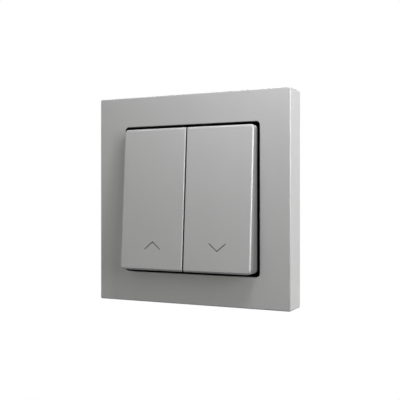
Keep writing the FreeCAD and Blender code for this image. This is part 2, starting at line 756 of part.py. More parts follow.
def make_housing():
    housing = new_body("base_housing")
    shell = cut_cornered(housing_width, housing_height, "housing_corner")
    add(housing, "front", [shell], "-housing_depth", "0")
    hollow = cut_cornered(f"2 * {inside_across}", f"2 * {inside_rise}", "housing_corner - housing_wall / 2")
    cut(housing, "front", [hollow], f"-{floor_depth}", "0")
    top = f"{common_low} - partition_gap"
    wall = rectangle("-partition_wall / 2", "partition_wall / 2", f"-{inside_rise}", top)
    add(housing, "front", [wall], f"-{floor_depth}", "-partition_depth")
    bosses = [
        circle(f"{right} * {boss_across}", f"{up} * {boss_rise}", "boss_radius")
        for right, up in corners
    ]
    add(housing, "front", bosses, f"-{floor_depth}", "0")
    pilots = [
        circle(f"{right} * {boss_across}", f"{up} * {boss_rise}", "fixing_radius + fixing_fit")
        for right, up in corners
    ]
    cut(housing, "front", pilots, f"-(fixing_length - {flange_out} + pilot_room)", "0")
    low = f"({common_low} + {chamber_end}) / 2 - post_side / 2"
    posts = []
    for side in (1, -1):
        outer = f"({common_half_width} - post_inset)"
        left, right = stretch(side, f"{outer} - post_side", outer)
        posts.append(rectangle(left, right, low, f"{low} + post_side"))
    add(housing, "front", posts, f"-{floor_depth}", f"-{common_back}")
    for name, (middle, up) in terminals.items():
        back = common_back if name == "common" else fixed_back
        ribs = []
        for side in (1, -1):
            near, far = f"{middle} + {side} * {rib_inner}", f"{middle} + {side} * {rib_outer}"
            left, right = (near, far) if side > 0 else (far, near)
            low, high = stretch(up, chamber_end, inside_rise)
            ribs.append(rectangle(left, right, low, high))
        add(housing, "front", ribs, f"-{floor_depth}", f"-{back}")
        low, high = stretch(up, f"{chamber_end} - chamber_wall", chamber_end)
        shelf = rectangle(f"{middle} - {rib_outer}", f"{middle} + {rib_outer}", low, high)
        add(housing, "front", [shelf], f"-{floor_depth}", f"-{shelf_depth}")
        entry = circle(middle, f"{up} * {wire_rise}", "wire_hole_radius")
        half_width = "(release_width / 2 + release_fit)"
        half_height = "(release_height / 2 + release_fit)"
        window = rectangle(f"{middle} - {half_width}", f"{middle} + {half_width}",
                           f"{up} * {release_rise} - {half_height}", f"{up} * {release_rise} + {half_height}")
        cut(housing, "front", [entry, window], "-housing_depth", f"-{floor_depth}")
    for side in (1, -1):
        middle = f"{-side} * {claw_rise}"
        near = "(claw_half_width + lug_gap)"
        inner = f"({housing_width} - housing_wall) / 2"
        left, right = stretch(side, inner, f"{claw_pivot_across} + eye_radius")
        lugs = [
            rectangle(left, right, f"{middle} + {near}", f"{middle} + {near} + lug_thick"),
            rectangle(left, right, f"{middle} - {near} - lug_thick", f"{middle} - {near}"),
        ]
        add(housing, "front", lugs, "-(claw_pivot_depth + pin_radius + lug_land)", "-lug_gap / 2")
        pin = circle(f"{side} * {claw_pivot_across}", "claw_pivot_depth", "pin_radius")
        far = f"({near} + lug_thick)"
        cut(housing, "top", [pin], f"{middle} - {far}", f"{middle} + {far}")


# The bent clamping spring of a terminal: one limb lies on the shelf, the other leans on the wire's way.
def make_terminal_clamp(name, middle, up):
    node = f"{name}_terminal_clamp"
    line = f"({chamber_end} + clamp_thick / 2)"
    route = [
        (strip_end, line),
        (clamp_bend, line),
        (f"{clamp_bend} - 2 * clamp_thick", f"{line} + 3 * clamp_thick"),
        (clamp_bend, limb_start),
        (clamp_tip, limb_end),
    ]
    path = doc.addObject("Sketcher::SketchObject", f"{node}_path")
    path.Placement.Rotation = FreeCAD.Rotation(FreeCAD.Vector(1, 1, 1), 120)
    spots = [FreeCAD.Vector(value(y), up * value(z), 0) for y, z in route]
    for start, end in zip(spots, spots[1:]):
        path.addGeometry(Part.LineSegment(start, end), False)
    for step in range(len(spots) - 2):
        path.addConstraint(Sketcher.Constraint("Coincident", step, 2, step + 1, 1))
    for step, (y, z) in enumerate(route):
        where = (-1, 1, step, 1) if step < len(spots) - 1 else (-1, 1, step - 1, 2)
        constrain(path, "DistanceX", where, y)
        constrain(path, "DistanceY", where, f"{up} * ({z})")
    band = doc.addObject("Part::Offset2D", f"{node}_band")
    band.Source = path
    band.setExpression("Value", bound("clamp_thick / 2"))
    band.Fill = True
    band.Join = 0
    clamp = doc.addObject("Part::Extrusion", node)
    clamp.Label = node
    clamp.Base = band
    clamp.DirMode = "Custom"
    clamp.Dir = (1, 0, 0)
    clamp.Solid = True
    clamp.Symmetric = True
    clamp.setExpression("LengthFwd", bound("clamp_width"))
    clamp.setExpression("Placement.Base.x", bound(middle))
    pieces[node] = clamp


def make_release(name, middle, up):
    release = new_body(f"{name}_release")
    half_width = "release_width / 2"
    half_height = "release_height / 2"
    rise = f"{up} * {release_rise}"
    shape = rectangle(f"{middle} - {half_width}", f"{middle} + {half_width}",
                      f"{rise} - {half_height}", f"{rise} + {half_height}")
    add(release, "front", [shape], "-(housing_depth + release_proud)", f"-{release_tip}")
    back = -value("housing_depth + release_proud")
    round_edges(release, "release_height / 8", lambda edge: lies_out(edge, back))


# Solids that are alike and fixed alike, kept as one piece of several solids.
def make_group(node, members):
    group = doc.addObject("Part::Compound", node)
    group.Label = node
    group.Links = members
    pieces[node] = group


def rod(name, radius, length, across, depth, rise, turn):
    cylinder = doc.addObject("Part::Cylinder", name)
    cylinder.setExpression("Radius", bound(radius))
    cylinder.setExpression("Height", bound(length))
    cylinder.Placement.Rotation = turn
    for axis, text in (("x", across), ("y", depth), ("z", rise)):
        cylinder.setExpression(f"Placement.Base.{axis}", bound(text))
    return cylinder


def make_housing_screws():
    into_wall = FreeCAD.Rotation(FreeCAD.Vector(1, 0, 0), -90)
    head_depth = f"-({flange_out} + fixing_head_height)"
    screws = []
    for number, (right, up) in enumerate(corners, 1):
        across, rise = f"{right} * {boss_across}", f"{up} * {boss_rise}"
        shank = rod(f"housing_screw_shank_{number}", "fixing_radius", "fixing_length",
                    across, f"-{flange_out}", rise, into_wall)
        head = rod(f"housing_screw_head_{number}", "fixing_head", "fixing_head_height",
                   across, head_depth, rise, into_wall)
        whole = doc.addObject("Part::Fuse", f"housing_screw_{number}")
        whole.Base = head
        whole.Tool = shank
        notch = doc.addObject("Part::Box", f"housing_screw_notch_{number}")
        notch.setExpression("Length", bound("2 * fixing_head"))
        notch.setExpression("Width", bound("fixing_head_height / 2"))
        notch.setExpression("Height", bound("driver_slot / 1.5"))
        notch.setExpression("Placement.Base.x", bound(f"{across} - fixing_head"))
        notch.setExpression("Placement.Base.y", bound(head_depth))
        notch.setExpression("Placement.Base.z", bound(f"{rise} - driver_slot / 3"))
        slotted = doc.addObject("Part::Cut", f"housing_screw_slotted_{number}")
        slotted.Base = whole
        slotted.Tool = notch
        screws.append(slotted)
    make_group("housing_screws", screws)


def make_claw_pins():
    upright = FreeCAD.Rotation()
    reach = "(claw_half_width + lug_gap + lug_thick)"
    pins = [
        rod(f"claw_pin_{number}", "pin_radius", f"2 * {reach}", f"{side} * {claw_pivot_across}",
            "claw_pivot_depth", f"{-side} * {claw_rise} - {reach}", upright)
        for number, side in enumerate((1, -1), 1)
    ]
    make_group("claw_pins", pins)


# A spreading claw: a fork around its screw that turns on a pin at the front and bites with its end.
def make_claw(name, side):
    claw = new_body(f"{name}_claw")
    middle = f"{-side} * {claw_rise}"
    low, high = f"{middle} - claw_half_width", f"{middle} + claw_half_width"
    across = [
        (claw_root, "claw_pivot_depth"),
        (f"{claw_root} + claw_thick", "claw_pivot_depth"),
        (f"{claw_tip} + claw_thick", claw_end),
        (f"{claw_tip} + claw_thick + claw_tooth", f"{claw_end} + claw_tooth"),
        (f"{claw_tip} + claw_thick", f"{claw_end} + 1.5 * claw_tooth"),
        (claw_tip, f"{claw_end} + 1.5 * claw_tooth"),
        (claw_tip, claw_end),
    ]
    arm = outline([(f"{side} * ({u})", depth) for u, depth in across])
    add(claw, "top", [arm], low, high)
    eye = circle(f"{side} * {claw_pivot_across}", "claw_pivot_depth", "eye_radius")
    add(claw, "top", [eye], low, high)
    left, right = stretch(side, f"{claw_pivot_across} - 2 * eye_radius", f"{claw_tip} + 2 * claw_thick")
    fork = rectangle(left, right, "claw_pivot_depth - 2 * eye_radius", f"{nut_depth} + fork_past_nut")
    half_slot = "(claw_screw_radius + fork_fit)"
    cut(claw, "top", [fork], f"{middle} - {half_slot}", f"{middle} + {half_slot}")
    bore = circle(f"{side} * {claw_pivot_across}", "claw_pivot_depth", "pin_radius + pin_fit")
    cut(claw, "top", [bore], low, high)


def make_claw_nut(name, side):
    nut = new_body(f"{name}_claw_nut")
    middle = f"{-side} * {claw_rise}"
    left, right = stretch(side, f"{housing_width} / 2 + nut_housing_fit", nut_outside)
    half_width = "(claw_half_width - nut_side_fit)"
    block = rectangle(left, right, f"{middle} - {half_width}", f"{middle} + {half_width}")
    add(nut, "front", [block], f"-({nut_depth} + nut_length)", f"-{nut_depth}")
    hole = circle(f"{side} * {claw_screw_across}", middle, "claw_screw_radius + claw_screw_fit")
    cut(nut, "front", [hole], f"-({nut_depth} + nut_length)", f"-{nut_depth}")


def make_claw_screw(name, side):
    screw = new_body(f"{name}_claw_screw")
    across = f"{side} * {claw_screw_across}"
    middle = f"{-side} * {claw_rise}"
    head_out = "(plate_thick + claw_head_height)"
    add(screw, "front", [circle(across, middle, "claw_screw_radius")], "-claw_screw_length", "plate_thick")
    add(screw, "front", [circle(across, middle, "claw_head_radius")], "plate_thick", head_out)
    front = value(head_out)
    round_edges(screw, "claw_head_height / 4", lambda edge: lies_out(edge, front))
    left = f"{across} - claw_head_radius"
    notch = rectangle(left, f"{left} + 2 * claw_head_radius",
                      f"{middle} - driver_slot / 2", f"{middle} + driver_slot / 2")
    cut(screw, "front", [notch], f"{head_out} - driver_depth", head_out)


make_cover_frame()
make_support_plate()
make_front_bridge()
make_axle()
make_housing()
make_housing_screws()
make_common_bar()
for name, side, points_up in (("up", -1, True), ("down", 1, False)):
    make_button(name, side, points_up)
    make_lever(name, side)
    make_return_spring(name, side)
    make_plunger(name, side)
    make_blade(name, side)
    make_fixed_contact(name, side)
for name, (middle, up) in terminals.items():
    make_terminal_clamp(name, middle, up)
    make_release(name, middle, up)
make_claw_pins()
for name, side in (("left", -1), ("right", 1)):
    make_claw(name, side)
    make_claw_nut(name, side)
    make_claw_screw(name, side)

doc.recompute()
failed = [item.Name for item in doc.Objects if "Invalid" in item.State or "Error" in item.State]
bad = [node for node, item in pieces.items() if item.Shape.isNull() or not item.Shape.isValid()]
if failed or bad:
    raise ValueError(f"failed objects {failed}, bad shapes {bad}")
os.makedirs("parts", exist_ok=True)
for node, item in pieces.items():
    item.Shape.exportStep(f"parts/{node}.step")
    print(f"{node}: {len(item.Shape.Solids)} solids, {item.Shape.Volume:.1f} mm3")
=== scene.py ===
import json
import math

import bmesh
import bpy
from mathutils import Matrix, Vector


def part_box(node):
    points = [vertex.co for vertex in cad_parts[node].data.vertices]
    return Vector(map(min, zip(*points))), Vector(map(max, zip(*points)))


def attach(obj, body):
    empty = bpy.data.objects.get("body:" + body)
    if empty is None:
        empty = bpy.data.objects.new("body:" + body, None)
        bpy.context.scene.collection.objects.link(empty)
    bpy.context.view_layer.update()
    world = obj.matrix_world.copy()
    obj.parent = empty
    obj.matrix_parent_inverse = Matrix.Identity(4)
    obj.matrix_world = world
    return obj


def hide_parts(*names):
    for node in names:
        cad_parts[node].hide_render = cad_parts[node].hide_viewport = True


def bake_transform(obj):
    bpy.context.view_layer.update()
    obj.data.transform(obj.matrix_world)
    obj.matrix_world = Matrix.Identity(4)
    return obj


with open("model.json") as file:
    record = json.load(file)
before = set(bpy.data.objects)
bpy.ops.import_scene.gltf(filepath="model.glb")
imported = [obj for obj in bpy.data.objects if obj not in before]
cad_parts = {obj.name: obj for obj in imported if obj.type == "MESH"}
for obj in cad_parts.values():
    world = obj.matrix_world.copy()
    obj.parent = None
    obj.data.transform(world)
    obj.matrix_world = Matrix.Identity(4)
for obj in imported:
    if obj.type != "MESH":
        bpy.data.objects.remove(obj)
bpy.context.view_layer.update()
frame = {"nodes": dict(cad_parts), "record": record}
cadNodes = frame["nodes"]
scene = bpy.context.scene
mm = 0.001


# One value of a node tree: arithmetic on it adds the Math nodes.
class Value:
    def __init__(self, tree, socket):
        self.tree, self.socket = tree, socket

    def math(self, operation, first, second):
        return self.tree.add("ShaderNodeMath", {"operation": operation}, {0: first, 1: second})

    def __add__(self, other):
        return self.math("ADD", self, other)

    def __radd__(self, other):
        return self.math("ADD", other, self)

    def __sub__(self, other):
        return self.math("SUBTRACT", self, other)

    def __rsub__(self, other):
        return self.math("SUBTRACT", other, self)

    def __mul__(self, other):
        return self.math("MULTIPLY", self, other)

    def __rmul__(self, other):
        return self.math("MULTIPLY", other, self)

    def __abs__(self):
        return self.math("ABSOLUTE", self, 0)

    def orMore(self, other):
        return self.math("MAXIMUM", self, other)

    # 0 below low, 1 above high and a soft step between
    def rising(self, low, high):
        settings = {"interpolation_type": "SMOOTHSTEP"}
        sockets = {"Value": self, "From Min": low, "From Max": high}
        return self.tree.add("ShaderNodeMapRange", settings, sockets)

    # the same for a length and a band given in millimetres
    def past(self, band):
        return self.rising(band[0] * mm, band[1] * mm)


# The nodes of a material, of the world or of a Geometry Nodes rule.
class Tree:
    def __init__(self, nodeTree):
        self.nodeTree = nodeTree
        nodeTree.nodes.clear()

    # any node: its type, its settings, the values or links of its sockets, and the output that is wanted
    def add(self, kind, settings, sockets, output=0):
        node = self.nodeTree.nodes.new(kind)
        for name, item in settings.items():
            setattr(node, name, item)
        for name, item in sockets.items():
            if isinstance(item, Value):
                self.nodeTree.links.new(item.socket, node.inputs[name])
            else:
                node.inputs[name].default_value = item
        return Value(self, node.outputs[output]) if len(node.outputs) else node

    def other(self, value, output):
        return Value(self, value.socket.node.outputs[output])


class Finish(Tree):
    def __init__(self, name):
        self.material = bpy.data.materials.new(name)
        self.material.use_nodes = True
        super().__init__(self.material.node_tree)
        self.place = self.add("ShaderNodeTexCoord", {}, {}, "Object")

    # size is the pattern's size in millimetres; stretch draws it out along x, y and z
    def noise(self, size, detail=2.0, roughness=0.5, stretch=(1, 1, 1)):
        scale = [1 / length for length in stretch]
        where = self.add("ShaderNodeMapping", {}, {"Vector": self.place, "Scale": scale})
        sockets = {"Vector": where, "Scale": 1000 / size, "Detail": detail, "Roughness": roughness}
        return self.add("ShaderNodeTexNoise", {}, sockets)

    # cells of about that size in millimetres: the distance to each cell's middle, or a value for each cell
    def cells(self, size, perCell=False):
        sockets = {"Vector": self.place, "Scale": 1000 / size}
        if not perCell:
            return self.add("ShaderNodeTexVoronoi", {}, sockets, "Distance")
        tint = self.add("ShaderNodeTexVoronoi", {}, sockets, "Color")
        return self.add("ShaderNodeSeparateColor", {}, {"Color": tint})

    def axes(self):
        parts = self.add("ShaderNodeSeparateXYZ", {}, {"Vector": self.place})
        return [self.other(parts, axis) for axis in range(3)]

    def colour(self, factor, first, second):
        return self.add("ShaderNodeMix", {"data_type": "RGBA"}, {0: factor, 6: first, 7: second}, 2)

    # depth in millimetres
    def bump(self, height, depth, below=None):
        sockets = {"Height": height, "Distance": depth * mm}
        if below:
            sockets["Normal"] = below
        return self.add("ShaderNodeBump", {}, sockets)

    # one surface, or two that share decides between
    def done(self, sockets, share=None, others=None):
        shader = self.add("ShaderNodeBsdfPrincipled", {}, sockets)
        if others:
            other = self.add("ShaderNodeBsdfPrincipled", {}, others)
            shader = self.add("ShaderNodeMixShader", {}, {0: share, 1: shader, 2: other})
        self.add("ShaderNodeOutputMaterial", {}, {"Surface": shader})
        return self.material


def grey(level, warmth=0.0):
    return (level * (1 + warmth), level, level * (1 - warmth), 1)


# The button faces lean out at the bottom, and the marks are sunk below that plane. Sizes are in millimetres,
# wideFace in square millimetres.
buttonLook = {
    "slopeDrop": 3.6, "faceHalf": 27.5, "middleOut": 15.6, "wideFace": 20, "markDepth": (0.02, 0.35),
    "markRise": (-21.5, -14.0), "markMiddle": 13.95, "markHalf": 4,
}
buttonSlope = buttonLook["slopeDrop"] / (2 * buttonLook["faceHalf"])


# Finishes: what differs from one to the next, what all of a kind share, and the function that makes them.
# Sizes and depths are in millimetres.
satinPaints = {
    "frame": {"tone": 0.385, "flakeSize": 0.11, "cloudSize": 14, "peelSize": 0.55},
    "button": {"tone": 0.38, "flakeSize": 0.1, "cloudSize": 11, "peelSize": 0.45},
}
lacquerLook = {
    "spread": 0.022, "warmth": 0.003, "metallic": 0.3, "roughness": 0.38, "peelDepth": 0.0016,
    "flakeDepth": 0.0008, "flakeTone": 0.55, "cloudTone": 0.5, "flakeRoughness": 0.1, "cloudRoughness": 0.06,
    "polish": 0.03, "smearSize": 5, "smeared": (0.42, 0.7), "mouldingAndShade": (0.0048, 0.0112),
    "mouldingRoughness": 0.6, "mouldingIor": 1.2,
}


# Aluminium-coloured satin lacquer on black moulding: fine metal flakes under a faint orange peel. The black
# of the moulding is mixed in where the lacquer ends, and also as painted shade in the gaps and on the
# buttons' side walls; fingers polish the lacquer.
def satinPaint(name, handling, bareAndShade):
    look = {**lacquerLook, **satinPaints[name]}
    finish = Finish(name + "Paint")
    flake = finish.cells(look["flakeSize"], perCell=True)
    cloud = finish.noise(look["cloudSize"], detail=3)
    peel = finish.noise(look["peelSize"], detail=1)
    smear = finish.noise(look["smearSize"], detail=4)
    across, deep, rise = finish.axes()
    tone = 0.5 + (flake - 0.5) * look["flakeTone"] + (cloud - 0.5) * look["cloudTone"]
    low, high = look["tone"] - look["spread"], look["tone"] + look["spread"]
    lacquer = finish.colour(tone, grey(low, look["warmth"]), grey(high, look["warmth"]))
    touched = handling(across, rise) * smear.rising(*look["smeared"])
    uneven = (flake - 0.5) * look["flakeRoughness"]
    rough = look["roughness"] + uneven + (cloud - 0.5) * look["cloudRoughness"] - touched * look["polish"]
    surface = finish.bump(flake, look["flakeDepth"], finish.bump(peel, look["peelDepth"]))
    # the black of the moulding, which is also the painted shade that the masks put in the gaps and on side
    # walls
    dark, light = look["mouldingAndShade"]
    mouldingAndShade = finish.colour(cloud, grey(dark), grey(light))
    mouldingRough = look["mouldingRoughness"] + uneven
    return finish.done(
        {"Base Color": lacquer, "Metallic": look["metallic"], "Roughness": rough, "Normal": surface},
        bareAndShade(across, deep, rise),
        {"Base Color": mouldingAndShade, "Roughness": mouldingRough, "IOR": look["mouldingIor"], "Normal": surface},
    )


# Bands in millimetres, each from where something starts to where it's full: the touch of fingers on the
# frame's edge and on the lower ends of the buttons, the places where the lacquer ends, and the places painted
# black as shade in the gaps and on the buttons' side walls.
frameLacquer = {
    "fingers": (38, 40.5), "inside": (38.7, 38.9), "front": (-10.95, -10.75), "openingStraight": 27.3,
    "openingCorner": (1.4, 1.54),
}
buttonLacquer = {
    "fingers": (4, 22), "skirt": (-11.0, -10.2), "middle": (0.34, 0.42), "middleBelow": (0.45, 1.1),
    "walls": (27.36, 27.48), "wallShadeShare": 0.24, "deepWallShadeShare": 0.22, "deepWallShadeBelow": (0.8, 4),
}


def frameHandling(across, rise):
    return abs(across).orMore(abs(rise)).past(frameLacquer["fingers"])


def buttonHandling(_, rise):
    return (0 - rise).past(buttonLacquer["fingers"])


# the share of black from 0 to 1: inside the frame, where bare moulding also stands in for the shade there,
# and on the edge around its rounded opening, where it is painted shade
def frameBareAndShade(across, deep, rise):
    look = frameLacquer
    inside = (1 - abs(across).orMore(abs(rise)).past(look["inside"])) * deep.past(look["front"])
    beside, above = [(abs(place) - look["openingStraight"] * mm).orMore(0) for place in (across, rise)]
    start, end = [(radius * mm) ** 2 for radius in look["openingCorner"]]
    return inside.orMore(1 - (beside * beside + above * above).rising(start, end))


# the same for the buttons: black on their skirts, partly bare moulding and partly painted shade below the
# frame's front; painted shade on their middle walls; and a share of painted shade on their outer walls,
# growing further below the face
def buttonBareAndShade(across, deep, rise):
    look = buttonLacquer
    sunk = deep + buttonLook["middleOut"] * mm - rise * buttonSlope
    middle = (1 - abs(across).past(look["middle"])) * sunk.past(look["middleBelow"])
    # painted shade on the outer walls: a share of black that grows further below the face
    wallShade = look["wallShadeShare"] + look["deepWallShadeShare"] * sunk.past(look["deepWallShadeBelow"])
    walls = abs(across).orMore(abs(rise)).past(look["walls"]) * wallShade
    return deep.past(look["skirt"]).orMore(middle).orMore(walls)


mouldings = {
    # near-black moulding, darker than the real part as painted shade in the cavity behind the gaps; also used
    # for the frame's inner ribs and tabs
    "bridgeBlack": {
        "tone": (0.009, 0.009, 0.0095), "spread": 0.35, "roughness": 0.56, "ior": 1.22,
        "grainSize": 0.16, "grainDepth": 0.012,
    },
    "leverGrey": {
        "tone": (0.05, 0.052, 0.055), "spread": 0.2, "roughness": 0.42, "ior": 1.49,
        "grainSize": 0.2, "grainDepth": 0.008,
    },
    "housingGrey": {
        "tone": (0.33, 0.34, 0.34), "spread": 0.1, "roughness": 0.5, "ior": 1.49,
        "grainSize": 0.22, "grainDepth": 0.014,
    },
    "plungerWhite": {
        "tone": (0.7, 0.69, 0.65), "spread": 0.06, "roughness": 0.34, "ior": 1.49,
        "grainSize": 0.2, "grainDepth": 0.004,
    },
    "releaseOrange": {
        "tone": (0.62, 0.17, 0.02), "spread": 0.12, "roughness": 0.38, "ior": 1.49,
        "grainSize": 0.18, "grainDepth": 0.008,
    },
    "markGrey": {
        "tone": (0.19, 0.19, 0.187), "spread": 0.15, "roughness": 0.55, "ior": 1.49,
        "grainSize": 0.08, "grainDepth": 0.003,
    },
}
# Flow marks, fine grain and scuffs.
mouldingLook = {
    "flowSize": 9, "flowTone": 0.9, "grainTone": 0.5, "grainMiddle": 0.4, "fineSize": 0.09, "scuffSize": 3.5,
    "scuffed": (0.6, 0.74), "flowRoughness": 0.12, "fineRoughness": 0.08, "scuffRoughness": 0.1,
}


# Moulded plastic: eroded tool grain, flow marks and faint scuffs.
def mouldedPlastic(name):
    look = {**mouldingLook, **mouldings[name]}
    finish = Finish(name)
    grain = finish.cells(look["grainSize"])
    flow = finish.noise(look["flowSize"], detail=4, roughness=0.55, stretch=(1, 1, 3))
    fine = finish.noise(look["fineSize"], detail=2)
    scuff = finish.noise(look["scuffSize"], detail=5, roughness=0.7, stretch=(4, 1, 1))
    mix = 0.5 + (flow - 0.5) * look["flowTone"] + (grain - look["grainMiddle"]) * look["grainTone"]
    dark = [part * (1 - look["spread"]) for part in look["tone"]]
    light = [part * (1 + look["spread"]) for part in look["tone"]]
    base = finish.colour(mix, (*dark, 1), (*light, 1))
    grainRough = (flow - 0.5) * look["flowRoughness"] + (fine - 0.5) * look["fineRoughness"]
    rough = look["roughness"] + grainRough + scuff.rising(*look["scuffed"]) * look["scuffRoughness"]
    surface = finish.bump(fine, look["grainDepth"] / 3, finish.bump(grain, look["grainDepth"]))
    return finish.done({"Base Color": base, "Roughness": rough, "Normal": surface, "IOR": look["ior"]})


# Metals: the darkest and the lightest colour, the roughness, the size of a crystal cell, and how far drawing
# lines are stretched along x, y and z.
metals = {
    "zincSteel": ((0.42, 0.43, 0.45), (0.6, 0.6, 0.58), 0.34, 1.6, (1, 1, 1)),
    # the support plate's black is painted shade for the cavity behind the gaps
    "blackSteel": ((0.028, 0.028, 0.03), (0.06, 0.06, 0.062), 0.5, 1.6, (1, 1, 1)),
    "clawSteel": ((0.4, 0.38, 0.32), (0.62, 0.58, 0.46), 0.36, 1.1, (1, 5, 1)),
    "axleSteel": ((0.46, 0.46, 0.47), (0.62, 0.62, 0.62), 0.2, 0.6, (9, 1, 1)),
    "springSteel": ((0.26, 0.26, 0.27), (0.42, 0.41, 0.4), 0.3, 0.5, (1, 1, 1)),
    "contactBrass": ((0.52, 0.33, 0.12), (0.74, 0.52, 0.22), 0.3, 1.2, (1, 1, 6)),
    "contactSilver": ((0.62, 0.61, 0.58), (0.8, 0.79, 0.77), 0.24, 0.4, (1, 1, 1)),
}
metalLook = {
    "lineSize": 0.12, "lineStretch": 6, "lineDepth": 0.003, "stainSize": 6, "cellTone": 0.35, "lineTone": 0.7,
    "stainTone": 0.8, "lineRoughness": 0.2, "stainRoughness": 0.22,
}


# Plated or bare metal: crystal cells, drawing lines and soft staining.
def workedMetal(name):
    dark, light, roughness, cellSize, stretch = metals[name]
    look = metalLook
    finish = Finish(name)
    cell = finish.cells(cellSize, perCell=True)
    drawing = [look["lineStretch"] * length for length in stretch]
    lines = finish.noise(look["lineSize"], detail=3, roughness=0.6, stretch=drawing)
    stain = finish.noise(look["stainSize"], detail=4, roughness=0.6)
    drawn, stained = lines - 0.5, stain - 0.5
    mix = 0.5 + (cell - 0.5) * look["cellTone"] + drawn * look["lineTone"] + stained * look["stainTone"]
    base = finish.colour(mix, (*dark, 1), (*light, 1))
    rough = roughness + drawn * look["lineRoughness"] + stained * look["stainRoughness"]
    surface = finish.bump(lines, look["lineDepth"])
    return finish.done({"Base Color": base, "Metallic": 1.0, "Roughness": rough, "Normal": surface})


finishes = {name: mouldedPlastic(name) for name in mouldings}
finishes.update({name: workedMetal(name) for name in metals})
finishes["framePaint"] = satinPaint("frame", frameHandling, frameBareAndShade)
finishes["buttonPaint"] = satinPaint("button", buttonHandling, buttonBareAndShade)
print("finishes:", len(finishes))


def newPiece(name, mesh):
    piece = bpy.data.objects.new(name, mesh)
    scene.collection.objects.link(piece)
    return piece


# The same from a bmesh, which is freed.
def workedPiece(name, work):
    mesh = bpy.data.meshes.new(name)
    work.to_mesh(mesh)
    work.free()
    return newPiece(name, mesh)


# The piece with its modifiers worked in, as one plain mesh.
def settled(piece):
    bpy.context.view_layer.update()
    graph = bpy.context.evaluated_depsgraph_get()
    mesh = bpy.data.meshes.new_from_object(piece.evaluated_get(graph), depsgraph=graph)
    piece.modifiers.clear()
    piece.data = mesh
    return piece


# Smooth on curves, sharp where faces meet at more than crease degrees, and flat on wide faces.
def shaded(piece, crease=32):
    piece.data.shade_smooth()
    piece.data.set_sharp_from_angle(angle=math.radians(crease))
    weighting = piece.modifiers.new("weighting", "WEIGHTED_NORMAL")
    weighting.keep_sharp = True
    weighting.weight = 90
    return settled(piece)


def rounded(piece, width, segments=2, crease=32):
    rounding = piece.modifiers.new("rounding", "BEVEL")
    rounding.width = width * mm
    rounding.segments = segments
    rounding.limit_method = "ANGLE"
    rounding.angle_limit = math.radians(crease)
    rounding.miter_outer = "MITER_ARC"
    return settled(piece)


# A merged copy of a CAD node; where width is given, its edges are rounded by that many millimetres.
# outer picks long edges that get a larger radius first.
def softened(node, width=0.0, crease=32, outer=None, radius=0.0):
    work = bmesh.new()
    work.from_mesh(cadNodes[node].data)
    bmesh.ops.remove_doubles(work, verts=work.verts, dist=0.001 * mm)
    bmesh.ops.dissolve_degenerate(work, dist=0.001 * mm, edges=work.edges)
    bmesh.ops.dissolve_limit(work, angle_limit=math.radians(0.5), verts=work.verts, edges=work.edges)
    if outer:
        long = [edge for edge in work.edges if outer(edge)]
        bmesh.ops.bevel(work, geom=long, offset=radius * mm, segments=4, profile=0.5, affect="EDGES")
    piece = workedPiece(node + "Skin", work)
    if width:
        rounded(piece, width, 2, crease)
    return shaded(piece, crease)


bodyOf = {node: body for body, members in frame["record"]["behaviour"]["bodies"].items() for node in members}


# The piece takes the place of a CAD node: its finish and its body.
def standIn(piece, node, *materials):
    piece.data.materials.clear()
    for material in materials:
        piece.data.materials.append(finishes[material])
    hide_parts(node)
    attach(piece, bodyOf[node])


# Pieces whose CAD shape is right: its finish and the rounding of its edges in millimetres.
plainPieces = {
    "cover_frame": ("framePaint", 0), "front_bridge": ("bridgeBlack", 0.1), "pivot_axle": ("axleSteel", 0),
    "common_contact_bar": ("contactBrass", 0.06), "claw_pins": ("axleSteel", 0.05),
}
for name in ("up", "down"):
    plainPieces.update({
        f"{name}_lever": ("leverGrey", 0.1), f"{name}_plunger": ("plungerWhite", 0.05),
        f"{name}_contact_blade": ("contactBrass", 0.04), f"{name}_moving_contact": ("contactSilver", 0),
        f"{name}_fixed_contact": ("contactBrass", 0.06), f"{name}_fixed_contact_rivet": ("contactSilver", 0),
    })
for name in ("common", "up", "down"):
    plainPieces[f"{name}_release"] = ("releaseOrange", 0.08)
for name in ("left", "right"):
    plainPieces[f"{name}_claw"] = ("clawSteel", 0.08)
    plainPieces[f"{name}_claw_nut"] = ("clawSteel", 0.12)
for node, (material, width) in plainPieces.items():
    standIn(softened(node, width), node, material)
print("plain pieces:", len(plainPieces))


# Springs: a coil stands between the bridge's cup and its lever, and a clamp's leaning limb reaches from its
# root to the place that its release pushes, given by their distances from the middle. Here each keeps its CAD
# shape; nothing bends them.
springLook = {"limbRoot": 11.6, "limbPushed": 14.0, "clampEdge": 0.04}


def makeSpring(node, edge):
    piece = softened(node, edge)
    piece.data.materials.append(finishes["springSteel"])
    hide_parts(node)
    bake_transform(piece)


for name in ("up", "down"):
    makeSpring(f"{name}_return_spring", 0)
for name in ("common", "up", "down"):
    side = math.copysign(mm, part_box(f"{name}_terminal_clamp")[0][2])
    makeSpring(f"{name}_terminal_clamp", springLook["clampEdge"])
print("springs: 5")


# Every corner of a wide face takes that face's own normal, so a mark or a fillet beside it doesn't bend its
# shading.
def flattened(piece, wideArea):
    mesh = piece.data
    normals = [corner.vector.copy() for corner in mesh.corner_normals]
    borders = set()
    for face in mesh.polygons:
        if face.area > wideArea * mm * mm:
            borders.update(face.edge_keys)
            for corner in face.loop_indices:
                normals[corner] = face.normal.copy()
    for edge in mesh.edges:
        edge.use_edge_sharp = edge.use_edge_sharp or edge.key in borders
    mesh.normals_split_custom_set(normals)
    return piece


def isMark(face):
    look = buttonLook
    side, out, rise = abs(face.center.x) / mm, -face.center.y / mm, face.center.z / mm
    below = look["middleOut"] - rise * buttonSlope - out
    (shallow, deep), (low, high) = look["markDepth"], look["markRise"]
    beside = abs(side - look["markMiddle"])
    return shallow < below < deep and low < rise < high and beside < look["markHalf"]


def makeButton(node):
    piece = flattened(softened(node), buttonLook["wideFace"])
    standIn(piece, node, "buttonPaint", "markGrey")
    for face in piece.data.polygons:
        face.material_index = 1 if isMark(face) else 0


for node in ("up_button", "down_button"):
    makeButton(node)
print("buttons: 2")


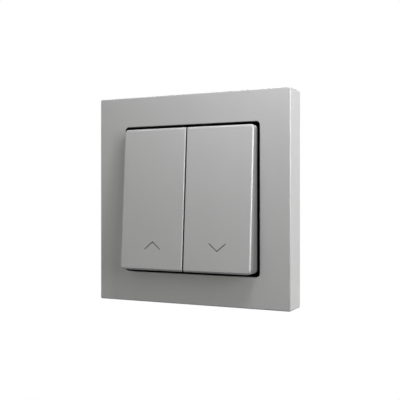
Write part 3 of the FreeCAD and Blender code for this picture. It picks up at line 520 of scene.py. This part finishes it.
# A Geometry Nodes rule with named inputs, each given as its kind and its value.
class Rule(Tree):
    def __init__(self, name, inputs):
        super().__init__(bpy.data.node_groups.new(name, "GeometryNodeTree"))
        self.values = {}
        for label, (kind, value) in inputs.items():
            socketType = "NodeSocket" + kind
            socket = self.nodeTree.interface.new_socket(label, in_out="INPUT", socket_type=socketType)
            self.values[socket.identifier] = value
        self.nodeTree.interface.new_socket("Geometry", in_out="OUTPUT", socket_type="NodeSocketGeometry")
        entry = self.nodeTree.nodes.new("NodeGroupInput")
        self.given = {label: Value(self, entry.outputs[label]) for label in inputs}

    # ends the tree and works it out on a piece whose mesh is the rule's first input
    def work(self, piece, geometry):
        whole = self.add("GeometryNodeRealizeInstances", {}, {"Geometry": geometry})
        sockets = {"Geometry": whole, "Material": self.given["Material"]}
        painted = self.add("GeometryNodeSetMaterial", {}, sockets)
        self.add("NodeGroupOutput", {}, {"Geometry": painted})
        modifier = piece.modifiers.new("rule", "NODES")
        modifier.node_group = self.nodeTree
        for identifier, value in self.values.items():
            if value is not None:
                modifier[identifier] = value
        return settled(piece)


def pointPiece(name, points):
    mesh = bpy.data.meshes.new(name)
    mesh.from_pydata([[part * mm for part in point] for point in points], [], [])
    return newPiece(name, mesh)


# A turned shape from its outline, as pairs of radius and height in millimetres, around z.
def turned(name, outline, steps=40):
    work = bmesh.new()
    ring = [work.verts.new((radius * mm, 0, height * mm)) for radius, height in outline]
    sides = [work.edges.new(pair) for pair in zip(ring, ring[1:])]
    bmesh.ops.spin(work, geom=ring + sides, cent=(0, 0, 0), axis=(0, 0, 1), angle=2 * math.pi, steps=steps)
    bmesh.ops.remove_doubles(work, verts=work.verts, dist=0.001 * mm)
    bmesh.ops.recalc_face_normals(work, faces=work.faces)
    return workedPiece(name, work)


# A block around the origin, its size in millimetres; where edge is given, its edges are rounded by that much.
def roundedBlock(name, size, edge, segments=2):
    work = bmesh.new()
    bmesh.ops.create_cube(work, size=1)
    bmesh.ops.transform(work, matrix=Matrix.Diagonal((*[part * mm for part in size], 1)), verts=work.verts)
    if edge:
        width = edge * mm
        bmesh.ops.bevel(work, geom=work.edges, offset=width, segments=segments, profile=0.5, affect="EDGES")
    return workedPiece(name, work)


# Blocks given by their middle and size in millimetres, cut out of the piece; edge rounds the blocks.
def cutBlocks(piece, blocks, edge=0.0):
    for middle, size in blocks:
        cutter = roundedBlock("cutter", size, edge, 3)
        cutter.data.transform(Matrix.Translation([part * mm for part in middle]))
        cut = piece.modifiers.new("cut", "BOOLEAN")
        cut.object = cutter
        cut.solver = "EXACT"
        settled(piece)
        bpy.data.objects.remove(cutter)
    return piece


# Screws: the shank's core, the thread's ridge and the head, set on every point and pointing into the wall.
# cross is the width of a cross recess, as a share of the head's radius, or 0 for a slot. place is the middle
# of the head's underside by x, y and z, with the signs of x and z left to the code below, and spin is the
# largest random turn in radians.
screwLooks = {
    "claw": {
        "head": 2.7, "headHeight": 1.9, "slot": 0.8, "slotDepth": 1.0, "cross": 0, "core": 1.25, "ridge": 0.3,
        "outside": 1.49, "pitch": 0.5, "plain": 1.2, "length": 21.2, "spin": 0.0, "place": (22.9, -1.2, 5.5),
    },
    "housing": {
        "head": 2.0, "headHeight": 1.3, "slot": 0.55, "slotDepth": 0.65, "cross": 1.25, "core": 0.78,
        "ridge": 0.24, "outside": 1.0, "pitch": 0.9, "plain": 2.2, "length": 11.0, "spin": 3.1,
        "place": (14.8, -3.2, 16.6),
    },
}
# The head's outline in shares of its radius and height, and how finely the rest is divided.
screwShape = {
    "head": ((0, 0), (0.94, 0), (1, 0.08), (1, 0.42), (0.93, 0.66), (0.78, 0.86), (0.55, 0.97), (0, 1)),
    "headEdge": 0.05, "crease": 40, "turnSteps": 26, "ridgeSides": 4, "shankSides": 28, "seed": 4,
}


def screwHead(look):
    top, radius, crease = look["headHeight"], look["head"], screwShape["crease"]
    head = turned("head", [(radius * wide, top * high) for wide, high in screwShape["head"]])
    slot, depth = look["slot"], 2 * look["slotDepth"]
    blocks = [((0, 0, top), (2 * radius + 1, slot, depth))]
    if look["cross"]:
        arm = look["cross"] * radius
        blocks = [((0, 0, top), (arm, slot, depth)), ((0, 0, top), (slot, arm, depth))]
    return shaded(rounded(cutBlocks(head, blocks), screwShape["headEdge"], crease=crease), crease)


def makeScrews(name, look, points, material):
    head = screwHead(look)
    rule = Rule(name + "Rule", {
        "Places": ("Geometry", None), "Head": ("Object", head), "Material": ("Material", finishes[material]),
        "Core Radius": ("Float", look["core"] * mm), "Outer Radius": ("Float", look["outside"] * mm),
        "Ridge": ("Float", look["ridge"] * mm), "Pitch": ("Float", look["pitch"] * mm),
        "Plain Length": ("Float", look["plain"] * mm), "Length": ("Float", look["length"] * mm),
        "Spin": ("Float", look["spin"]), "Seed": ("Int", screwShape["seed"]),
    })
    given = rule.given
    sides, ridgeSides = screwShape["shankSides"], screwShape["ridgeSides"]

    def shape(kind, sockets, output=0):
        return rule.add("GeometryNode" + kind, {}, sockets, output)

    threaded = given["Length"] - given["Plain Length"]
    run = threaded - given["Pitch"]
    turns = rule.add("ShaderNodeMath", {"operation": "DIVIDE"}, {0: run, 1: given["Pitch"]})
    middle = given["Outer Radius"] - given["Ridge"]
    spiral = shape("CurveSpiral", {
        "Resolution": screwShape["turnSteps"], "Rotations": turns, "Start Radius": middle,
        "End Radius": middle, "Height": run,
    })
    profile = shape("CurvePrimitiveCircle", {"Resolution": ridgeSides, "Radius": given["Ridge"]})
    ridge = shape("CurveToMesh", {"Curve": spiral, "Profile Curve": profile, "Fill Caps": True})
    drop = rule.add("ShaderNodeCombineXYZ", {}, {2: 0 - given["Length"] + given["Pitch"] * 0.5})
    ridge = shape("Transform", {"Geometry": ridge, "Translation": drop})
    core = shape("MeshCylinder", {"Vertices": sides, "Radius": given["Core Radius"], "Depth": threaded})
    coreDrop = rule.add("ShaderNodeCombineXYZ", {}, {2: 0 - given["Plain Length"] - threaded * 0.5})
    core = shape("Transform", {"Geometry": core, "Translation": coreDrop})
    sizes = {"Vertices": sides, "Radius": given["Outer Radius"], "Depth": given["Plain Length"]}
    neck = shape("MeshCylinder", sizes)
    neckDrop = rule.add("ShaderNodeCombineXYZ", {}, {2: 0 - given["Plain Length"] * 0.5})
    neck = shape("Transform", {"Geometry": neck, "Translation": neckDrop})
    top = shape("ObjectInfo", {"Object": given["Head"]}, "Geometry")
    screw = rule.nodeTree.nodes.new("GeometryNodeJoinGeometry")
    for part in (top, neck, core, ridge):
        rule.nodeTree.links.new(part.socket, screw.inputs[0])
    whole = Value(rule, screw.outputs[0])
    limits = {2: 0.0, 3: given["Spin"], "Seed": given["Seed"]}
    turn = rule.add("FunctionNodeRandomValue", {"data_type": "FLOAT"}, limits, 1)
    spin = rule.add("ShaderNodeCombineXYZ", {}, {2: turn})
    intoWall = (math.pi / 2, 0, 0)
    placed = shape("InstanceOnPoints", {"Points": given["Places"], "Instance": whole, "Rotation": intoWall})
    placed = shape("RotateInstances", {"Instances": placed, "Rotation": spin})
    screws = rule.work(pointPiece(name, points), placed)
    bpy.data.objects.remove(head)
    return shaded(screws, screwShape["crease"])


across, deep, rise = screwLooks["housing"]["place"]
points = [(right * across, deep, up * rise) for right in (1, -1) for up in (1, -1)]
screws = makeScrews("housingScrews", screwLooks["housing"], points, "zincSteel")
standIn(screws, "housing_screws", "zincSteel")
across, deep, rise = screwLooks["claw"]["place"]
for side, name in ((-1, "left"), (1, "right")):
    points = [(side * across, deep, -side * rise)]
    screw = makeScrews(name + "ClawScrew", screwLooks["claw"], points, "zincSteel")
    standIn(screw, name + "_claw_screw", "zincSteel")
print("screws: 6")


# A rule that sets one shape on every point, each turned by the point's own angle about the wall's normal.
def repeated(name, shape, spots, material):
    rule = Rule(name + "Rule", {
        "Places": ("Geometry", None), "Shape": ("Object", shape),
        "Material": ("Material", finishes[material]),
    })
    turn = rule.add("GeometryNodeInputNamedAttribute", {"data_type": "FLOAT"}, {"Name": "turn"})
    angle = rule.add("ShaderNodeCombineXYZ", {}, {1: turn})
    single = rule.add("GeometryNodeObjectInfo", {}, {"Object": rule.given["Shape"]}, "Geometry")
    sockets = {"Points": rule.given["Places"], "Instance": single, "Rotation": angle}
    placed = rule.add("GeometryNodeInstanceOnPoints", {}, sockets)
    holder = pointPiece(name, [spot[:3] for spot in spots])
    angles = holder.data.attributes.new("turn", "FLOAT", "POINT")
    angles.data.foreach_set("value", [math.radians(spot[3]) for spot in spots])
    piece = rule.work(holder, placed)
    bpy.data.objects.remove(shape)
    return shaded(piece, crease=35)


# A flat shape from its corners across and up, standing proud between two depths.
def proudShape(name, corners, near, far, material):
    work = bmesh.new()
    front = [work.verts.new((across * mm, near * mm, rise * mm)) for across, rise in corners]
    back = [work.verts.new((across * mm, far * mm, rise * mm)) for across, rise in corners]
    work.faces.new(front)
    work.faces.new(back)
    for first, second in zip(range(len(corners)), [*range(1, len(corners)), 0]):
        work.faces.new((front[first], front[second], back[second], back[first]))
    bmesh.ops.recalc_face_normals(work, faces=work.faces)
    piece = shaded(workedPiece(name, work))
    piece.data.materials.append(finishes[material])
    return piece


# A piece that the CAD model doesn't have, with the body of the node that it stands on.
def addedTo(node, piece):
    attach(piece, bodyOf[node])


# Housing: a rounded tub with stiffening ribs, collars around the wire entries, ejector rings, a gauge for the
# stripped length of a wire, and an arrow head beside the entry of each direction. The outlines of collar and
# ring hold distances from their radius and from the housing's back. Edges of the tub that lie behind
# cornerFront, are longer than cornerLength and bend by over cornerAngle get the larger radius, cornerEdge.
housingLook = {
    "halfWidth": 19.0, "halfHeight": 21.5, "depth": 22.0, "softEdge": 0.1, "cornerEdge": 0.6,
    "cornerFront": 0.3, "cornerLength": 4, "cornerAngle": 30, "cornerSlack": 0.02,
    "ribSize": (0.9, 15.0, 0.9), "ribEdge": 0.2, "ribPitch": 3.0, "ribCount": 7, "ribDepth": 12.4,
    "entryRadius": 1.5, "entries": ((0, 16.9), (-8.5, -16.9), (8.5, -16.9)),
    "collar": ((0.02, -0.3), (0.75, -0.3), (0.75, 0.35), (0.6, 0.5), (0.3, 0.5), (0.02, 0.15), (0.02, -0.3)),
    "ringRadius": 2.2, "ringAcross": (-13, 13), "ringRise": (-6, 8),
    "ring": ((0, -0.1), (0.3, -0.1), (0.26, 0.06), (0.15, 0.1), (0.04, 0.06), (0, -0.1)),
    "gaugeLength": 10.0, "gaugeRise": 2.6, "gaugeEnds": (0.5, 1.2), "gaugeBar": 0.25,
    "arrowPlace": (13.6, -17.2), "arrowHalf": 1.5, "arrowRise": (1.1, 1.3), "sunk": 0.1, "proud": 0.3,
}


def onHousingOutline(edge):
    look = housingLook
    wide, high = [look[half] - look["cornerSlack"] for half in ("halfWidth", "halfHeight")]
    ends = [vertex.co / mm for vertex in edge.verts]
    outside = all(abs(end.x) > wide or abs(end.z) > high for end in ends)
    behindPlate = all(end.y > look["cornerFront"] for end in ends)
    long = edge.calc_length() > look["cornerLength"] * mm
    return outside and behindPlate and long and edge.calc_face_angle(0) > math.radians(look["cornerAngle"])


# One ring from its outline, set on the housing's back at each place.
def ringsOnBack(name, radius, outline, places):
    ring = turned("ring", [(radius + wide, high) for wide, high in outline], steps=36)
    ring.data.transform(Matrix.Rotation(-math.pi / 2, 4, "X"))
    spots = [(across, housingLook["depth"], rise, 0) for across, rise in places]
    addedTo("base_housing", repeated(name, ring, spots, "housingGrey"))


def makeHousing():
    look = housingLook
    skin = softened("base_housing", look["softEdge"], outer=onHousingOutline, radius=look["cornerEdge"])
    standIn(skin, "base_housing", "housingGrey")
    middle = (look["ribCount"] - 1) / 2
    spots = []
    for up in (1, -1):
        for step in range(look["ribCount"]):
            across = (step - middle) * look["ribPitch"]
            spots.append((across, look["ribDepth"], up * look["halfHeight"], 0))
    rib = roundedBlock("rib", look["ribSize"], look["ribEdge"])
    addedTo("base_housing", repeated("housingRibs", rib, spots, "housingGrey"))
    ringsOnBack("entryCollars", look["entryRadius"], look["collar"], look["entries"])
    ringPlaces = [(across, rise) for across in look["ringAcross"] for rise in look["ringRise"]]
    ringsOnBack("ejectorRings", look["ringRadius"], look["ring"], ringPlaces)
    near, far = look["depth"] - look["sunk"], look["depth"] + look["proud"]
    half, bar = look["gaugeLength"] / 2, look["gaugeBar"]
    endWidth, foot = look["gaugeEnds"]
    inner = half - endWidth
    lower = [(-half, -foot), (-inner, -foot), (-inner, -bar), (inner, -bar), (inner, -foot), (half, -foot)]
    corners = lower + [(-across, -rise) for across, rise in lower]
    corners = [(across, rise + look["gaugeRise"]) for across, rise in corners]
    addedTo("base_housing", proudShape("stripGauge", corners, near, far, "housingGrey"))
    (across, middle), half, (below, above) = look["arrowPlace"], look["arrowHalf"], look["arrowRise"]
    for name, side, turn in (("up", -1, 1), ("down", 1, -1)):
        foot, tip = middle - turn * below, middle + turn * above
        corners = [(side * across - half, foot), (side * across + half, foot), (side * across, tip)]
        addedTo("base_housing", proudShape(name + "EntryArrow", corners, near, far, "housingGrey"))


# Support plate: steel sheet in black, a painted shade that keeps the cavity behind the gaps dark, with beads
# pressed in from the wall side and a square hole in each corner.
plateLook = {
    "beadLength": 14.3, "beadWidth": 2.2, "beadDepth": 0.45, "beadAt": 26.8, "beadShift": 19.5,
    "beadEdge": 0.42, "holeAt": 32.4, "holeMiddle": -0.6, "holeSize": (2.6, 4, 2.6), "edge": 0.1,
}


def makePlate():
    look = plateLook
    blocks = []
    long, wide, deep = look["beadLength"], look["beadWidth"], 2 * look["beadDepth"]
    for side in (1, -1):
        for shift in (1, -1):
            beadAt, beadShift = side * look["beadAt"], shift * look["beadShift"]
            blocks.append(((beadAt, 0, beadShift), (wide, deep, long)))
            blocks.append(((beadShift, 0, beadAt), (long, deep, wide)))
            hole = (side * look["holeAt"], look["holeMiddle"], shift * look["holeAt"])
            blocks.append((hole, look["holeSize"]))
    plate = cutBlocks(softened("support_plate"), blocks, look["beadEdge"])
    standIn(shaded(rounded(plate, look["edge"])), "support_plate", "blackSteel")


# Frame: short ribs inside, between its side walls and its front, and four tabs on its collar that keep light
# from passing the plate's slots.
frameLook = {
    "wallInside": 38.4, "ribSize": (1.0, 5.6, 1.7), "ribEdge": 0.15, "ribSunk": 0.05, "ribDepth": -6.3,
    "ribPitch": 9.4, "ribsPerSide": 7,
    "collarInside": 28.6, "tabSize": (4.4, 1.2, 3.3), "tabEdge": 0.25, "tabSunk": 0.15, "tabDepth": -4.6,
}


def makeFrameInside():
    look = frameLook
    inset, depth = look["wallInside"] - look["ribSize"][2] / 2 + look["ribSunk"], look["ribDepth"]
    spots = []
    for step in range(look["ribsPerSide"]):
        along = (step - (look["ribsPerSide"] - 1) / 2) * look["ribPitch"]
        spots += [(along, depth, inset, 0), (along, depth, -inset, 180)]
        spots += [(inset, depth, along, 90), (-inset, depth, along, 270)]
    rib = roundedBlock("rib", look["ribSize"], look["ribEdge"])
    addedTo("cover_frame", repeated("frameRibs", rib, spots, "bridgeBlack"))
    inset, depth = look["collarInside"] - look["tabSize"][2] / 2 + look["tabSunk"], look["tabDepth"]
    spots = [(0, depth, inset, 0), (0, depth, -inset, 180), (inset, depth, 0, 90), (-inset, depth, 0, 270)]
    tab = roundedBlock("tab", look["tabSize"], look["tabEdge"])
    addedTo("cover_frame", repeated("lightTabs", tab, spots, "bridgeBlack"))


makeHousing()
makePlate()
makeFrameInside()
print("housing, plate and frame details: done")

# The camera stands level, to the object's right, where the photograph was taken from.
cameraPlace = {
    "location": (0.12025, -0.2535, 0.0), "along": (-0.4310, 0.9024, 0.0), "lens": 63.3, "shiftUp": -0.00205,
}
camera = bpy.data.cameras.new("camera")
camera.sensor_width = 36
camera.lens = cameraPlace["lens"]
camera.shift_y = cameraPlace["shiftUp"]
camera.clip_start = 0.01
cameraObject = newPiece("camera", camera)
cameraObject.location = cameraPlace["location"]
cameraObject.rotation_euler = Vector(cameraPlace["along"]).to_track_quat("-Z", "Y").to_euler()
scene.camera = cameraObject

# Soft studio light: each lamp's place, what it points at, its size in metres and its watts. A lamp whose
# mirrored is False gives light, but the surfaces don't reflect its shape.
lamps = {
    "gloss": {"place": (-0.164, -0.284, 0.229), "at": (0, 0, 0), "size": (0.2, 0.2), "watts": 0.17},
    "key": {
        "place": (0.068, -0.058, 0.12), "at": (0.01, 0, 0.01), "size": (0.06, 0.06), "watts": 0.232,
        "mirrored": False,
    },
    "edge": {"place": (0.4, 0.36, -0.02), "at": (0, 0, 0), "size": (0.55, 0.55), "watts": 0.75},
    "glint": {"place": (0.325, -0.144, 0.08), "at": (0.03, 0, 0), "size": (0.06, 0.2), "watts": 0.86},
    "top": {"place": (0.0, -0.06, 0.4), "at": (0, 0, 0), "size": (0.3, 0.12), "watts": 0.5},
    "back": {
        "place": (-0.25, 0.5, 0.15), "at": (0, 0.01, 0), "size": (0.5, 0.5), "watts": 1.15, "mirrored": False,
    },
    "side": {
        "place": (-0.4, 0.1, 0.1), "at": (0, 0, 0), "size": (0.4, 0.4), "watts": 0.8, "mirrored": False,
    },
    "low": {"place": (-0.05, -0.38, -0.3), "at": (0, 0, -0.04), "size": (0.2, 0.2), "watts": 0.13},
}
lampTint = (0.98, 0.992, 1.012)
for name, lamp in lamps.items():
    light = bpy.data.lights.new(name, "AREA")
    light.shape = "RECTANGLE"
    light.size, light.size_y = lamp["size"]
    light.energy = lamp["watts"]
    light.color = lampTint
    holder = newPiece(name, light)
    holder.location = lamp["place"]
    along = Vector(lamp["at"]) - Vector(lamp["place"])
    holder.rotation_euler = along.to_track_quat("-Z", "Y").to_euler()
    holder.visible_camera = False
    holder.visible_glossy = lamp.get("mirrored", True)

# White all round for the camera, a warmer white for the gloss, and next to no light of its own.
surround = {
    "ambient": 0.01, "glossTint": (1.0, 0.995, 0.945, 1), "floorDrop": 0.25, "floorHalf": 0.5,
    "floorTone": 0.55, "floorFade": 0.55, "floorGlow": 0.62, "edgeGlow": 0.4,
}
world = bpy.data.worlds.new("studio")
scene.world = world
world.use_nodes = True
studio = Tree(world.node_tree)
path = studio.add("ShaderNodeLightPath", {}, {}, "Is Camera Ray")
shown = path.orMore(studio.other(path, "Is Glossy Ray")).orMore(studio.other(path, "Is Transmission Ray"))
strength = surround["ambient"] + (1 - surround["ambient"]) * shown
sides = {0: path, 6: surround["glossTint"], 7: (1, 1, 1, 1)}
tint = studio.add("ShaderNodeMix", {"data_type": "RGBA"}, sides, 2)
background = studio.add("ShaderNodeBackground", {}, {"Color": tint, "Strength": strength})
studio.add("ShaderNodeOutputWorld", {}, {"Surface": background})


# A pale floor well below; its own shade stays, and it runs out into the white around it.
def makeFloor():
    half, drop = surround["floorHalf"], surround["floorDrop"]
    floor = newPiece("floor", bpy.data.meshes.new("floor"))
    corners = [(-half, -half, -drop), (half, -half, -drop), (half, half, -drop), (-half, half, -drop)]
    floor.data.from_pydata(corners, [], [(0, 1, 2, 3)])
    finish = Finish("paleFloor")
    across, deep, _ = finish.axes()
    edge = abs(across).orMore(abs(deep)).rising(half * surround["floorFade"], half)
    seen = finish.add("ShaderNodeLightPath", {}, {}, "Is Camera Ray")
    tone = finish.colour(edge, grey(surround["floorTone"]), grey(0.0))
    lit = finish.add("ShaderNodeBsdfDiffuse", {}, {"Color": tone})
    strength = seen * (surround["floorGlow"] + surround["edgeGlow"] * edge)
    glow = finish.add("ShaderNodeEmission", {}, {"Strength": strength})
    both = finish.add("ShaderNodeAddShader", {}, {0: lit, 1: glow})
    finish.add("ShaderNodeOutputMaterial", {}, {"Surface": both})
    floor.data.materials.append(finish.material)


makeFloor()
print("camera, lamps and floor: done")

scene.view_settings.view_transform = "Standard"
bpy.context.view_layer.update()
